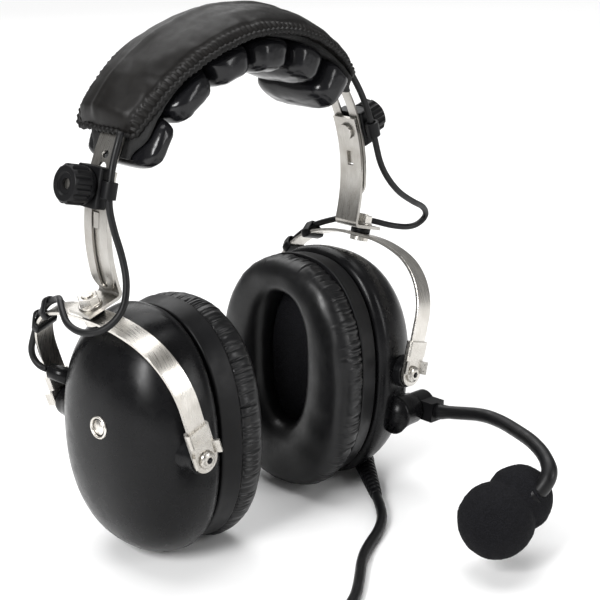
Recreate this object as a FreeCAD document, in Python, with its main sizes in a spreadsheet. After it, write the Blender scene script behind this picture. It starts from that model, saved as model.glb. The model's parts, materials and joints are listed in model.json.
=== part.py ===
"""Aviation headset: spring band, head pad, two ear cups on stirrups, boom microphone and down-lead.

Frame: millimetres, +Z up, the wearer faces -Y and the wearer's left is +X. The headset stands on its
two cups on the plane Z = 0. The adjusters are unequal: the left one is drawn out, the right one is closed.

Most pieces of a side are written in a side frame, whose +X points outward from the head. The right side is
the left one turned half a turn about Z, so `front` gives the sign of the wearer's front in the side frame.
"""

import FreeCAD, Part
import math
import os
import re

V = FreeCAD.Vector
Turn = FreeCAD.Rotation
Place = FreeCAD.Placement

X, Y, Z = V(1, 0, 0), V(0, 1, 0), V(0, 0, 1)
HERE = Place()

doc = FreeCAD.newDocument("Headset")
sheet = doc.addObject("Spreadsheet::Sheet", "Sizes")

DRIVING_SIZES = [
    ("arc_radius", 77.0, "mean radius of the spring band"),
    ("arc_height", 147.0, "height of the band's centre above the table"),
    ("band_width", 15.0, "width of the spring band"),
    ("band_thick", 1.2, "thickness of the spring band"),
    ("band_tip", -13.5, "angle of the band's tips below the band's centre, degrees"),
    ("band_turn", 4.1, "turn of the band towards the closed right adjuster, degrees"),
    ("slot_width", 5.0, "width of the adjuster slot"),
    ("slot_top", 25.3, "angle of the slot's upper end, degrees"),
    ("slot_bottom", -10.6, "angle of the slot's lower end, degrees"),
    ("peg_hole", 3.5, "diameter of the hole above the slot"),
    ("peg_angle", 29.6, "angle of that hole, degrees"),
    ("hanger_width", 13.5, "width of the hanger strip"),
    ("hanger_thick", 1.5, "thickness of the hanger strip"),
    ("hanger_gap", 0.3, "gap between band and hanger"),
    ("hanger_top", 20.9, "angle of the hanger's top end, degrees"),
    ("hanger_bend", 17.8, "angle of the hanger's bend below the band's centre, degrees"),
    ("bend_radius", 2.2, "mean radius of the hanger's bend"),
    ("foot_length", 15.7, "straight length of the hanger's foot"),
    ("tab_angle", 5.0, "angle of the guide tab, degrees"),
    ("stud_angle", 15.4, "angle of the clamp stud, degrees"),
    ("stud_diameter", 4.6, "diameter of the clamp stud"),
    ("block_height", 17.0, "height of the clamp block"),
    ("block_width", 16.0, "width of the clamp block"),
    ("block_thick", 5.5, "thickness of the clamp block"),
    ("knob_diameter", 16.5, "diameter of the clamp knob"),
    ("knob_length", 11.0, "length of the clamp knob"),
    ("clip_bore", 4.0, "bore of the cable clip"),
    ("lean", 16.5, "lean of the stirrup and its swivel bolt, degrees"),
    ("pivot_out", 64.5, "distance of the cup pivots from the middle plane"),
    ("pivot_up", 59.0, "height of the cup pivots"),
    ("pivot_side", 47.4, "distance of each pivot clip from the cup's middle"),
    ("strap_width", 9.5, "width of the stirrup strap"),
    ("strap_thick", 1.5, "thickness of the stirrup strap"),
    ("strap_top", 57.8, "height of the stirrup's top over the pivots"),
    ("strap_flat", 5.0, "half length of the flat at the stirrup's top"),
    ("shoulder_turn", 20.2, "turn of the stirrup's shoulder, degrees"),
    ("shoulder_reach", 23.0, "sideways reach of the stirrup's shoulder"),
    ("bolt_diameter", 5.0, "diameter of the swivel bolt"),
    ("nut_width", 8.0, "width across the flats of the swivel nut"),
    ("screw_diameter", 4.0, "diameter of the pivot screws"),
    ("running_gap", 0.05, "clearance of the turning fits, on the radius"),
    ("cup_width", 80.0, "width of the cup at the groove behind the dome"),
    ("cup_height", 108.0, "height of the cup at that groove"),
    ("cup_drop", 2.5, "drop of the cup's middle below its pivots"),
    ("cup_power", 2.3, "exponent of the cup's oval outline"),
    ("groove_in", 15.5, "distance of the groove inside the pivots"),
    ("dome_depth", 38.0, "depth of the dome"),
    ("dome_power", 2.5, "exponent of the dome's profile"),
    ("dome_swell", 2.4, "swell of the dome over the groove"),
    ("dome_wall", 2.2, "wall of the dome"),
    ("ring_depth", 11.2, "depth of the rim ring"),
    ("ring_flare", 2.2, "flare of the rim ring"),
    ("cushion_depth", 15.0, "depth of the ear cushion"),
    ("ear_width", 31.0, "width of the ear opening"),
    ("ear_height", 65.0, "height of the ear opening"),
    ("left_tilt", -3.2, "tilt of the left cup, top inward, degrees"),
    ("right_tilt", 0.5, "tilt of the right cup, top inward, degrees"),
    ("driver_diameter", 40.0, "diameter of the speaker driver"),
    ("pad_width", 46.0, "width of the head pad"),
    ("pad_thick", 8.0, "thickness of the padding over the band"),
    ("pad_half_span", 53.5, "half the angle of the pad's cover, degrees"),
    ("sleeve_half_span", 60.5, "half the angle of the pad's end sleeves, degrees"),
    ("cell_depth", 15.0, "depth of the pad cells under the band"),
    ("cell_width", 40.0, "width of the pad cells"),
    ("cell_pitch", 18.6, "pitch of the pad cells, degrees"),
    ("cell_shift", -6.7, "shift of the row of cells towards the right, degrees"),
    ("cable_diameter", 3.0, "diameter of the link cable"),
    ("boom_diameter", 6.2, "diameter of the microphone boom"),
    ("muff_diameter", 33.0, "diameter of the muff's large lobe"),
    ("cord_diameter", 4.8, "diameter of the down-lead"),
    ("tail_diameter", 3.6, "diameter of the two tails"),
    ("coil_radius", 28.7, "mean radius of the coiled cord"),
    ("phone_pin", 6.35, "diameter of the phone plug's pin"),
    ("mic_pin", 5.23, "diameter of the microphone plug's pin"),
]

for row, (alias, value, note) in enumerate(DRIVING_SIZES, 1):
    sheet.set(f"A{row}", note)
    sheet.set(f"B{row}", str(value))
    sheet.setAlias(f"B{row}", alias)
doc.recompute()
ALIASES = {alias for alias, _, _ in DRIVING_SIZES}


def size(alias):
    """The value of a driving size."""
    return float(getattr(sheet, alias))


def rule(text):
    """An expression whose aliases point into the sheet."""
    return re.sub(r"[a-z_]+", lambda word: f"Sizes.{word[0]}" if word[0] in ALIASES else word[0], text)


# ---------------------------------------------------------------- building blocks


def primitive(kind, at=V(), axis=Z, within=HERE, **rules):
    """A Part primitive at a point along an axis, with its sizes bound to the sheet."""
    piece = doc.addObject("Part::" + kind, kind)
    for prop, text in rules.items():
        piece.setExpression(prop, rule(str(text)))
    piece.Placement = within * Place(V(*at), Turn(Z, V(*axis)))
    return piece


def cylinder(radius, height, at=V(), axis=Z, within=HERE):
    return primitive("Cylinder", at, axis, within, Radius=radius, Height=height)


def box(length, width, height, middle=V(), within=HERE):
    """A box whose sizes run along X, Y and Z, about its middle."""
    piece = primitive("Box", within=within, Length=length, Width=width, Height=height)
    doc.recompute()
    half = V(piece.Length.Value, piece.Width.Value, piece.Height.Value) / 2
    piece.Placement = within * Place(V(*middle) - half, Turn())
    return piece


def cut(base, *tools):
    piece = doc.addObject("Part::Cut", "Cut")
    piece.Base = base
    piece.Tool = tools[0] if len(tools) == 1 else fuse(*tools)
    piece.Refine = False
    return piece


def fuse(*pieces):
    whole = doc.addObject("Part::MultiFuse", "Fuse")
    whole.Shapes = list(pieces)
    whole.Refine = False
    return whole


def together(*pieces):
    """Separate solids that share one node."""
    group = doc.addObject("Part::Compound", "Group")
    group.Links = list(pieces)
    return group


def fillet(base, radius, chosen):
    """Rounds the edges of a piece that the test chooses."""
    doc.recompute()
    piece = doc.addObject("Part::Fillet", "Fillet")
    piece.Base = base
    picked = [n for n, edge in enumerate(base.Shape.Edges, 1) if chosen(edge)]
    piece.Edges = [(n, radius, radius) for n in picked]
    return piece


def shaped(shape):
    """A piece whose shape is made directly, for lofts and tubes along a route."""
    piece = doc.addObject("Part::Feature", "Shape")
    piece.Shape = shape
    return piece


NODES = {}


def node(name, piece, place=HERE):
    """Names a finished sub-part and puts it in its place."""
    piece.Label = name
    piece.Placement = place * piece.Placement
    NODES[name] = piece
    return piece


def origin_part(body, role):
    return next(f for f in body.Origin.OriginFeatures if f.Role == role)


def sketched_body(name, role, edges):
    """A body with one sketch of the given edges on an origin plane."""
    body = doc.addObject("PartDesign::Body", name)
    sketch = body.newObject("Sketcher::SketchObject", "Outline")
    sketch.AttachmentSupport = (origin_part(body, role), [""])
    sketch.MapMode = "FlatFace"
    for edge in edges:
        sketch.addGeometry(edge, False)
    return body, sketch


def padded_body(name, role, edges, length):
    """A body padded evenly on both sides of its sketch."""
    body, sketch = sketched_body(name, role, edges)
    pad = body.newObject("PartDesign::Pad", "Pad")
    pad.Profile = sketch
    pad.SideType = "Symmetric"
    pad.setExpression("Length", rule(length))
    return body


def turned_body(name, outline):
    """A body turned about Z, from an outline of (radius, height) points that starts and ends on the axis."""
    ends = outline[1:] + outline[:1]
    edges = [Part.LineSegment(V(r0, z0, 0), V(r1, z1, 0)) for (r0, z0), (r1, z1) in zip(outline, ends)]
    body, sketch = sketched_body(name, "XZ_Plane", edges)
    turned = body.newObject("PartDesign::Revolution", "Revolution")
    turned.Profile = sketch
    turned.ReferenceAxis = (sketch, ["V_Axis"])
    turned.Angle = 360
    return body


def strip_outline(start, heading, moves, thick):
    """The closed outline of a bent strip: moves are ("run", length) or ("bend", mean radius, turn in degrees)."""
    at, angle = V(*start), math.radians(heading)
    left, right = [], []
    for move in moves:
        along = V(math.cos(angle), math.sin(angle), 0)
        side = V(-along.y, along.x, 0)
        if move[0] == "run":
            end = at + along * move[1]
            left.append(Part.LineSegment(at + side * thick / 2, end + side * thick / 2))
            right.append(Part.LineSegment(at - side * thick / 2, end - side * thick / 2))
            at = end
            continue
        radius, turn = move[1], math.radians(move[2])
        sense = 1 if turn > 0 else -1
        centre = at + side * radius * sense
        for edges, offset in ((left, -sense * thick / 2), (right, sense * thick / 2)):
            circle = Part.Circle(centre, Z, radius + offset)
            first = angle - sense * math.pi / 2
            span = sorted((first, first + turn))
            edges.append(Part.ArcOfCircle(circle, span[0], span[1]))
        angle += turn
        at = centre - V(-math.sin(angle), math.cos(angle), 0) * radius * sense
    heading_in = math.radians(heading)
    across_in = V(-math.sin(heading_in), math.cos(heading_in), 0) * thick / 2
    across_out = V(-math.sin(angle), math.cos(angle), 0) * thick / 2
    ends = [
        Part.LineSegment(V(*start) - across_in, V(*start) + across_in),
        Part.LineSegment(at - across_out, at + across_out),
    ]
    return left + right + ends


def arc_bar(inner, outer, start, span, width, within=HERE):
    """A bar bent about the band's centre; angles are degrees up from the outward direction."""
    middle = Place(V(0, 0, size("arc_height")), Turn(X, 90))
    doc.recompute()
    pieces = []
    for radius in (outer, inner):
        piece = primitive("Cylinder", Radius=radius, Height=width, Angle=span)
        doc.recompute()
        down = V(0, 0, -piece.Height.Value / 2)
        piece.Placement = within * middle * Place(down, Turn(Z, start))
        pieces.append(piece)
    return cut(*pieces)


def radial(angle):
    """A frame at the band's centre with +X outward at an angle and +Z along the band, upward."""
    return Place(V(0, 0, size("arc_height")), Turn(Y, -angle))


def oval_wire(x, width, height, power, drop=0.0):
    """A closed oval in the plane of constant x, a superellipse of the given exponent."""
    points = []
    count = 32
    for i in range(count):
        turn = 2 * math.pi * i / count
        c, s = math.cos(turn), math.sin(turn)
        y = width / 2 * math.copysign(abs(c) ** (2 / power), c)
        z = height / 2 * math.copysign(abs(s) ** (2 / power), s)
        points.append(V(x, y, z - drop))
    curve = Part.BSplineCurve()
    curve.interpolate(points, PeriodicFlag=True)
    return Part.Wire(curve.toShape())


def oval_loft(stations, power, drop=0.0):
    """A solid through ovals given as (x, width, height)."""
    wires = [oval_wire(x, width, height, power, drop) for x, width, height in stations]
    return Part.makeLoft(wires, True, len(wires) == 2)


def rounded_route(points):
    """A wire of straight runs joined by tangent arcs, each as large as its two runs allow, and its radii."""
    corners = [V(*p) for p in points]
    edges, radii, start = [], [], corners[0]
    for before, corner, after in zip(corners, corners[1:], corners[2:]):
        back, ahead = before - corner, after - corner
        shorter = min(back.Length, ahead.Length)
        half_turn = (math.pi - back.getAngle(ahead)) / 2
        reach = 0.45 * shorter
        first = corner + V(back).normalize() * reach
        last = corner + V(ahead).normalize() * reach
        radius = reach / math.tan(half_turn)
        bisector = (V(back).normalize() + V(ahead).normalize()).normalize()
        centre = corner + bisector * math.hypot(reach, radius)
        edges.append(Part.LineSegment(start, first).toShape())
        edges.append(Part.Arc(first, centre - bisector * radius, last).toShape())
        radii.append(radius)
        start = last
    edges.append(Part.LineSegment(start, corners[-1]).toShape())
    return Part.Wire(edges), radii


def tube(name, points, diameter):
    """A tube along a route of straight runs and tangent arcs."""
    path, radii = rounded_route(points)
    along = V(*points[1]) - V(*points[0])
    ring = Part.Wire(Part.makeCircle(diameter / 2, V(*points[0]), along))
    shape = Part.makeSolid(path.makePipeShell([ring], True, True))
    expected = math.pi * diameter**2 / 4 * path.Length
    if abs(shape.Volume / expected - 1) > 0.02:
        raise ValueError(f"{name}: the tube's volume is {shape.Volume:.0f}, expected {expected:.0f}")
    print(f"{name}: length {path.Length:.0f}, least radius {min(radii):.1f}")
    return shape


# ---------------------------------------------------------------- frames of the moving groups

SIDES = {
    "left": {"turn": Place(V(), Turn(Z, 0)), "front": -1, "tilt": size("left_tilt")},
    "right": {"turn": Place(V(), Turn(Z, 180)), "front": 1, "tilt": size("right_tilt")},
}
BAND_PLACE = (
    Place(V(0, 0, size("arc_height")), Turn())
    * Place(V(), Turn(Y, -size("band_turn")))
    * Place(V(0, 0, -size("arc_height")), Turn())
)
PIVOT = V(size("pivot_out"), 0, size("pivot_up"))
# origin midway between the pivots, +Z along the swivel bolt
STIRRUP_FRAME = Place(PIVOT, Turn(Y, size("lean")))


def cup_frame(side):
    """Origin midway between the pivots, +X out of the cup."""
    return Place(PIVOT, Turn(Y, -side["tilt"]))


# ---------------------------------------------------------------- headband


def spring_band():
    band = arc_bar(
        "arc_radius - band_thick/2", "arc_radius + band_thick/2",
        size("band_tip"), "180 - 2*band_tip", "band_width",
    )
    cutters = []
    for turn in (0, 180):
        side = Place(V(), Turn(Z, turn))
        cutters.append(
            arc_bar("arc_radius - 3", "arc_radius + 3", size("slot_bottom"),
                    "slot_top - slot_bottom", "slot_width", side)
        )
        for angle, radius in (
            (size("slot_bottom"), "slot_width/2"), (size("slot_top"), "slot_width/2"),
            (size("peg_angle"), "peg_hole/2"),
        ):
            cutters.append(cylinder(radius, 6, (size("arc_radius") - 3, 0, 0), X, side * radial(angle)))
    slotted = cut(band, *cutters)
    edge_at = size("band_width") / 2

    def at_a_corner(edge):
        short = abs(edge.Length - size("band_thick")) < 0.01
        return short and abs(abs(edge.CenterOfMass.y) - edge_at) < 0.01

    node("spring_band", fillet(slotted, edge_at - 0.4, at_a_corner), BAND_PLACE)


def pad_arc(inner, outer, half_span, width):
    """A bar centred on the top of the band; half_span is an alias."""
    return arc_bar(inner, outer, 90 - size(half_span), f"2*{half_span}", width)


def head_pad():
    cover = pad_arc("arc_radius + 1.4", "arc_radius + 1.4 + pad_thick", "pad_half_span", "pad_width")
    doc.recompute()
    top = size("arc_radius") + 1.4 + size("pad_thick")
    middle = V(0, 0, size("arc_height"))

    def along_the_top(edge):
        point = edge.valueAt((edge.FirstParameter + edge.LastParameter) / 2) - middle
        return edge.Length > 60 and abs(math.hypot(point.x, point.z) - top) < 0.1

    node("pad_cover", fillet(cover, 5.0, along_the_top), BAND_PLACE)

    sleeve = pad_arc("arc_radius - 4", "arc_radius - 0.9", "sleeve_half_span", "cell_width - 4")
    node("pad_lining", sleeve, BAND_PLACE)

    cells = []
    pitch = size("cell_pitch")
    for i in range(6):
        start = 90 - size("cell_shift") - 3 * pitch + i * pitch + 0.6
        cell = arc_bar("arc_radius - 4.3 - cell_depth", "arc_radius - 4.3", start, "cell_pitch - 1.2", "cell_width")
        cells.append(cell)
    node("pad_cells", together(*cells), BAND_PLACE)


# ---------------------------------------------------------------- adjuster


STRIP_RADIUS = size("arc_radius") - size("band_thick") / 2 - size("hanger_gap") - size("hanger_thick") / 2
UPRIGHT = Place(V(), Turn(Y, 90))


def foot_level():
    """Height of the hanger's foot in the stirrup's frame, to the middle of the strip."""
    bend, lean = math.radians(size("hanger_bend")), math.radians(size("lean"))
    at = V(STRIP_RADIUS * math.cos(bend), 0, size("arc_height") - STRIP_RADIUS * math.sin(bend))
    centre = at + V(math.cos(bend), 0, -math.sin(bend)) * size("bend_radius")
    foot = centre - V(math.sin(lean), 0, math.cos(lean)) * size("bend_radius")
    return STIRRUP_FRAME.inverse().multVec(foot).z


FOOT = foot_level()


def hanger(name, side):
    top = math.radians(size("hanger_top"))
    start = (STRIP_RADIUS * math.cos(top), STRIP_RADIUS * math.sin(top) + size("arc_height"), 0)
    moves = [
        ("bend", STRIP_RADIUS, -(size("hanger_top") + size("hanger_bend"))),
        ("bend", size("bend_radius"), 90 - size("lean") + size("hanger_bend")),
        ("run", size("foot_length")),
    ]
    edges = strip_outline(start, size("hanger_top") - 90, moves, size("hanger_thick"))
    strip = padded_body(f"strip_{name}", "XZ_Plane", edges, "hanger_width")
    at_tab = radial(size("tab_angle"))
    holes = [
        cylinder("stud_diameter/2", 6, (STRIP_RADIUS - 3, 0, 0), X, radial(size("stud_angle"))),
        cylinder("bolt_diameter/2", 8, (0, 0, size("strap_top")), Z, STIRRUP_FRAME),
        box(6, 3.6, 7, (STRIP_RADIUS, 0, 0), at_tab),
    ]
    tab = box(1.2, 3.4, 6.6, (STRIP_RADIUS + 1.15, 0, 0.4), at_tab)
    node(f"{name}_hanger", fuse(cut(strip, *holes), tab), side["turn"])


def clamp(name, side):
    """The stud through the slot, the block that bears on the band, and the cable clip on the block."""
    at = radial(size("stud_angle"))
    inner = STRIP_RADIUS - size("hanger_thick") / 2
    bearing = size("arc_radius") + size("band_thick") / 2 + 0.35
    outer = bearing + size("block_thick")
    stud = fuse(
        cylinder("stud_diameter/2", outer + 9.5 - inner, (inner - 0.5, 0, 0), X, at),
        cylinder("stud_diameter/2 + 1.6", 1.4, (inner - 1.5, 0, 0), X, at),
    )
    node(f"{name}_clamp_stud", stud, side["turn"])

    block = box("block_thick", "block_width", "block_height", ((bearing + outer) / 2, 0, 0), at)
    eased = fillet(block, 1.6, lambda edge: abs(edge.tangentAt(edge.FirstParameter).y) < 0.5)
    node(f"{name}_clamp_block", cut(eased, cylinder("stud_diameter/2", 12, (bearing - 3, 0, 0), X, at)), side["turn"])

    ring_radius = size("clip_bore") / 2 + 1.2
    y = side["front"] * (size("block_width") / 2 + ring_radius)
    ring = cut(
        cylinder(ring_radius, 7, ((bearing + outer) / 2, y, -3.5), Z, at),
        cylinder("clip_bore/2", 9, ((bearing + outer) / 2, y, -4.5), Z, at),
    )
    node(f"{name}_cable_clip", ring, side["turn"])

    knob(name, at, outer + 0.2, side)


def knob(name, at, start, side):
    """A fluted knob that screws down on the stud."""
    radius, length = size("knob_diameter") / 2, size("knob_length")
    bore = size("stud_diameter") / 2 + size("running_gap")
    blank = turned_body(f"knob_{name}", [
        (bore, 0), (radius - 1.4, 0), (radius - 0.6, 1.2), (radius - 0.6, 2.6), (radius, 3.2),
        (radius, length - 1.2), (radius - 1.2, length), (radius - 3.4, length), (radius - 3.9, length - 0.8),
        (bore, length - 0.8),
    ])
    flute = blank.newObject("PartDesign::SubtractiveCylinder", "Flute")
    flute.Radius = 1.5
    flute.Height = length
    flute.Placement = Place(V(radius + 0.6, 0, 3.2), Turn())
    flutes = blank.newObject("PartDesign::PolarPattern", "Flutes")
    flutes.Originals = [flute]
    flutes.Axis = (origin_part(blank, "Z_Axis"), [""])
    flutes.Angle = 360
    flutes.Occurrences = 12
    blank.Tip = flutes
    turned = doc.addObject("Part::Compound", "Knob")
    blank.Placement = at * Place(V(start, 0, 0), Turn(Y, 90))
    turned.Links = [blank]
    node(f"{name}_clamp_knob", turned, side["turn"])


# ---------------------------------------------------------------- stirrup


def stirrup(name, side):
    place = side["turn"] * STIRRUP_FRAME
    reach, turn = size("shoulder_reach"), size("shoulder_turn")
    shoulder = reach / math.sin(math.radians(turn))
    corner_turn = 90 - turn
    corner = (size("pivot_side") - reach - size("strap_flat")) / (1 - math.cos(math.radians(corner_turn)))
    rise = corner * math.sin(math.radians(corner_turn)) + shoulder * (1 - math.cos(math.radians(turn)))
    leg_end = 9.0
    leg = size("strap_top") - rise - leg_end
    moves = [
        ("run", leg), ("bend", corner, -corner_turn), ("bend", shoulder, -turn), ("run", 2 * size("strap_flat")),
        ("bend", shoulder, -turn), ("bend", corner, -corner_turn), ("run", leg),
    ]
    edges = strip_outline((-size("pivot_side"), leg_end, 0), 90, moves, size("strap_thick"))
    strap = padded_body(f"strap_{name}", "YZ_Plane", edges, "strap_width")
    hole = cylinder("bolt_diameter/2 + running_gap", 6, (0, 0, size("strap_top") - 3))
    node(f"{name}_stirrup", cut(strap, hole), place)

    strap_over = size("strap_top") + size("strap_thick") / 2
    strap_under = strap_over - size("strap_thick")
    foot_under, foot_over = FOOT - size("hanger_thick") / 2, FOOT + size("hanger_thick") / 2
    bolt = fuse(
        cylinder("bolt_diameter/2", foot_over + 5.2 - strap_under + 0.2, (0, 0, strap_under - 0.2)),
        cylinder("bolt_diameter/2 + 2", 2.0, (0, 0, strap_under - 2.1)),
    )
    node(f"{name}_swivel_bolt", bolt, place)
    spacer = cut(
        cylinder("strap_width/2", foot_under - strap_over - 0.1, (0, 0, strap_over + 0.1)),
        cylinder("bolt_diameter/2", 6, (0, 0, strap_over - 1)),
    )
    node(f"{name}_swivel_spacer", spacer, place)
    hexagon = doc.addObject("Part::Prism", "Hexagon")
    hexagon.Polygon = 6
    hexagon.setExpression("Circumradius", rule("nut_width/sqrt(3)"))
    hexagon.Height = 3.8
    hexagon.Placement = Place(V(0, 0, foot_over + 0.8), Turn())
    nut = cut(
        fuse(hexagon, cylinder("nut_width/2 + 1", 0.8, (0, 0, foot_over))),
        cylinder("bolt_diameter/2", 8, (0, 0, foot_over - 1)),
    )
    node(f"{name}_swivel_nut", nut, place)

    clips = []
    for sign in (-1, 1):
        y = sign * size("pivot_side")
        sleeve = fillet(box(12, 4.0, 7, (0, y, 12)), 1.5, lambda e: abs(e.tangentAt(e.FirstParameter).z) > 0.9)
        tongue = fuse(
            sleeve,
            box(12, "strap_thick", 9, (0, y, 4.5)),
            cylinder(6, "strap_thick", (0, y - size("strap_thick") / 2, 0), Y),
            *[
                box(1.2, 3.6, 6, (0, 0, 0), Place(V(wing * 6.2, y + sign * 1.7, 3.2), Turn(Z, -sign * wing * 35)))
                for wing in (-1, 1)
            ],
        )
        clips.append(cut(
            tongue,
            box("strap_width + 0.1", "strap_thick + 0.1", 10, (0, y, leg_end + 5)),
            cylinder("screw_diameter/2 + running_gap", 12, (0, y - 6, 0), Y),
        ))
    node(f"{name}_pivot_clips", together(*clips), place)
    node(f"{name}_cord_clips", cable_clips(side), place)


def cable_clips(side):
    """Two bands that hold the link cable on the stirrup's rear arm."""
    rear = -side["front"]
    corner_middle = V(0, rear * 17.8, 25.9)
    clips = []
    for angle in (36, 64):
        frame = Place(corner_middle, Turn(X, -rear * (90 - angle)))
        clips.append(cut(
            box("strap_width + 2.4", 5.5, "strap_thick + 7.0", (0, 0, 31.7), frame),
            box("strap_width + 0.1", 8, "strap_thick + 0.5", (0, 0, 29.65), frame),
            box("strap_width - 1", 8, 5.0, (0, 0, 32.6), frame),
        ))
    return together(*clips)


# ---------------------------------------------------------------- ear cup

OVAL = size("cup_power")
DROP = size("cup_drop")
GROOVE = -size("groove_in")
RIM = GROOVE - size("ring_depth")
REACH = size("pivot_side") - size("strap_thick") / 2
# the boom's seat in the left cup's frame, and the ends of the down-lead's strain relief
BOOM_SEAT = V(9.7, -41, -21)
RELIEF_START, RELIEF_END = V(62, -20, 5.6), V(42.5, -45.5, 3.0)


def dome_stations(inset):
    """Ovals of the dome's outside, or of its inside where inset is the wall."""
    stations = []
    wide = size("cup_width") + 2 * size("dome_swell") - 2 * inset
    high = size("cup_height") + 2 * size("dome_swell") - 2 * inset
    depth = size("dome_depth") - inset
    for degrees in (0, 12, 25, 38, 50, 61, 71, 79, 85):
        t = math.sin(math.radians(degrees)) ** (2 / size("dome_power"))
        r = math.cos(math.radians(degrees)) ** (2 / size("dome_power"))
        swell = 2 * size("dome_swell") if degrees == 0 and inset == 0 else 0
        stations.append((GROOVE + 0.6 + t * (depth - 0.6), wide * r - swell, high * r - swell))
    return stations


def dome(name, side):
    place = side["turn"] * cup_frame(side)
    outer = shaped(oval_loft(dome_stations(0), OVAL, DROP))
    inside = dome_stations(size("dome_wall"))
    inside[0] = (inside[0][0] - 3, inside[0][1], inside[0][2])
    inner = shaped(oval_loft(inside, OVAL, DROP))
    bosses = [cylinder(7, REACH - 0.35 - 34, (0, sign * 34, 0), (0, sign, 0)) for sign in (-1, 1)]
    rear = -side["front"]
    gland = cylinder(3.4, 12, (8, rear * 30, 17), (0.35, rear, 0.15))
    extras = [*bosses, gland]
    if name == "left":
        to_cup = cup_frame(side).inverse()
        into_dome = to_cup.Rotation.multVec(RELIEF_START - RELIEF_END)
        extras.append(cylinder(7.5, 9.7, BOOM_SEAT - V(9.7, 0, 0), X))
        extras.append(cylinder(5.2, 10, to_cup.multVec(RELIEF_START), into_dome))
    holes = [cylinder("screw_diameter/2", 20, (0, sign * (REACH + 3), 0), (0, -sign, 0)) for sign in (-1, 1)]
    if name == "left":
        holes.append(cylinder(2.5, 30, BOOM_SEAT - V(10, 0, 0), X))
    piece = cut(fuse(outer, *extras), inner, *holes)
    node(f"{name}_dome", piece, place)

    screws = []
    for sign in (-1, 1):
        y = sign * (REACH + size("strap_thick") + 0.1)
        screws.append(fuse(
            cylinder("screw_diameter/2", 9.4, (0, y, 0), (0, -sign, 0)),
            primitive("Cone", (0, y, 0), (0, sign, 0), Radius1=3.9, Radius2=2.4, Height=2.0),
        ))
    node(f"{name}_pivot_screws", together(*screws), place)


def cup_insides(name, side):
    """The rim ring, the ear cushion and what is inside the cup."""
    place = side["turn"] * cup_frame(side)
    wide, high, flare = size("cup_width"), size("cup_height"), size("ring_flare")
    bore_wide, bore_high = wide - 9, high - 9
    ring = cut(
        fuse(
            shaped(oval_loft([
                (GROOVE - 0.6, wide, high),
                (GROOVE - 4, wide + flare, high + flare),
                (RIM, wide + 2 * flare, high + 2 * flare),
            ], OVAL, DROP)),
            shaped(oval_loft([
                (GROOVE + 3, bore_wide + 4, bore_high + 4), (GROOVE - 1, bore_wide + 4, bore_high + 4),
            ], OVAL, DROP)),
        ),
        shaped(oval_loft([(GROOVE + 5, bore_wide, bore_high), (RIM - 1, bore_wide, bore_high)], OVAL, DROP)),
    )
    node(f"{name}_rim_ring", ring, place)

    depth = size("cushion_depth")
    full_wide, full_high = wide + 2 * flare, high + 2 * flare
    profile = [(0, -1.0), (0.18, 0.8), (0.45, 1.4), (0.7, 0.6), (0.88, -2.6), (0.97, -6.5), (1, -11)]
    hole = [(-0.1, 17.0), (0.3, 11.0), (0.62, 3.0), (0.85, 0.0), (1.1, 3.5)]
    body = shaped(oval_loft([
        (RIM - 0.1 - t * depth, full_wide + 2 * grow, full_high + 2 * grow) for t, grow in profile
    ], OVAL, DROP))
    ear = shaped(oval_loft([
        (RIM - 0.1 - t * depth, size("ear_width") + grow, size("ear_height") + grow) for t, grow in hole
    ], OVAL, DROP - 6))
    below = box(90, 140, 20)
    below.Placement = cup_frame(side).inverse() * Place(V(0, -70, -20), Turn())
    node(f"{name}_ear_cushion", cut(body, ear, below), place)

    baffle = cut(
        shaped(oval_loft([
            (RIM + 3, bore_wide - 0.2, bore_high - 0.2), (RIM + 1, bore_wide - 0.2, bore_high - 0.2),
        ], OVAL, DROP)),
        cylinder("driver_diameter/2", 8, (RIM - 2, 0, -DROP), X),
    )
    node(f"{name}_baffle", baffle, place)
    driver = fuse(
        cylinder("driver_diameter/2", 4, (RIM + 1, 0, -DROP), X),
        cylinder("driver_diameter/2 - 8", 6, (RIM + 4, 0, -DROP), X),
    )
    node(f"{name}_driver", driver, place)
    foam = oval_loft([(RIM + 0.9, 44, 76), (RIM - 1.6, 44, 76)], OVAL, DROP - 6)
    node(f"{name}_acoustic_foam", shaped(foam), place)


def badge(name, side):
    """A small ring badge set on the outside of the dome."""
    place = side["turn"] * cup_frame(side)
    front = side["front"]
    middle = V(19.9, front * 14, 12.5)
    out = V(1, front * 0.16, 0.1).normalize()
    disc = cylinder(5, 4, middle - out * 1.4, out)
    node(f"{name}_badge", cut(disc, shaped(oval_loft(dome_stations(0), OVAL, DROP))), place)


# ---------------------------------------------------------------- link cables

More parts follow.
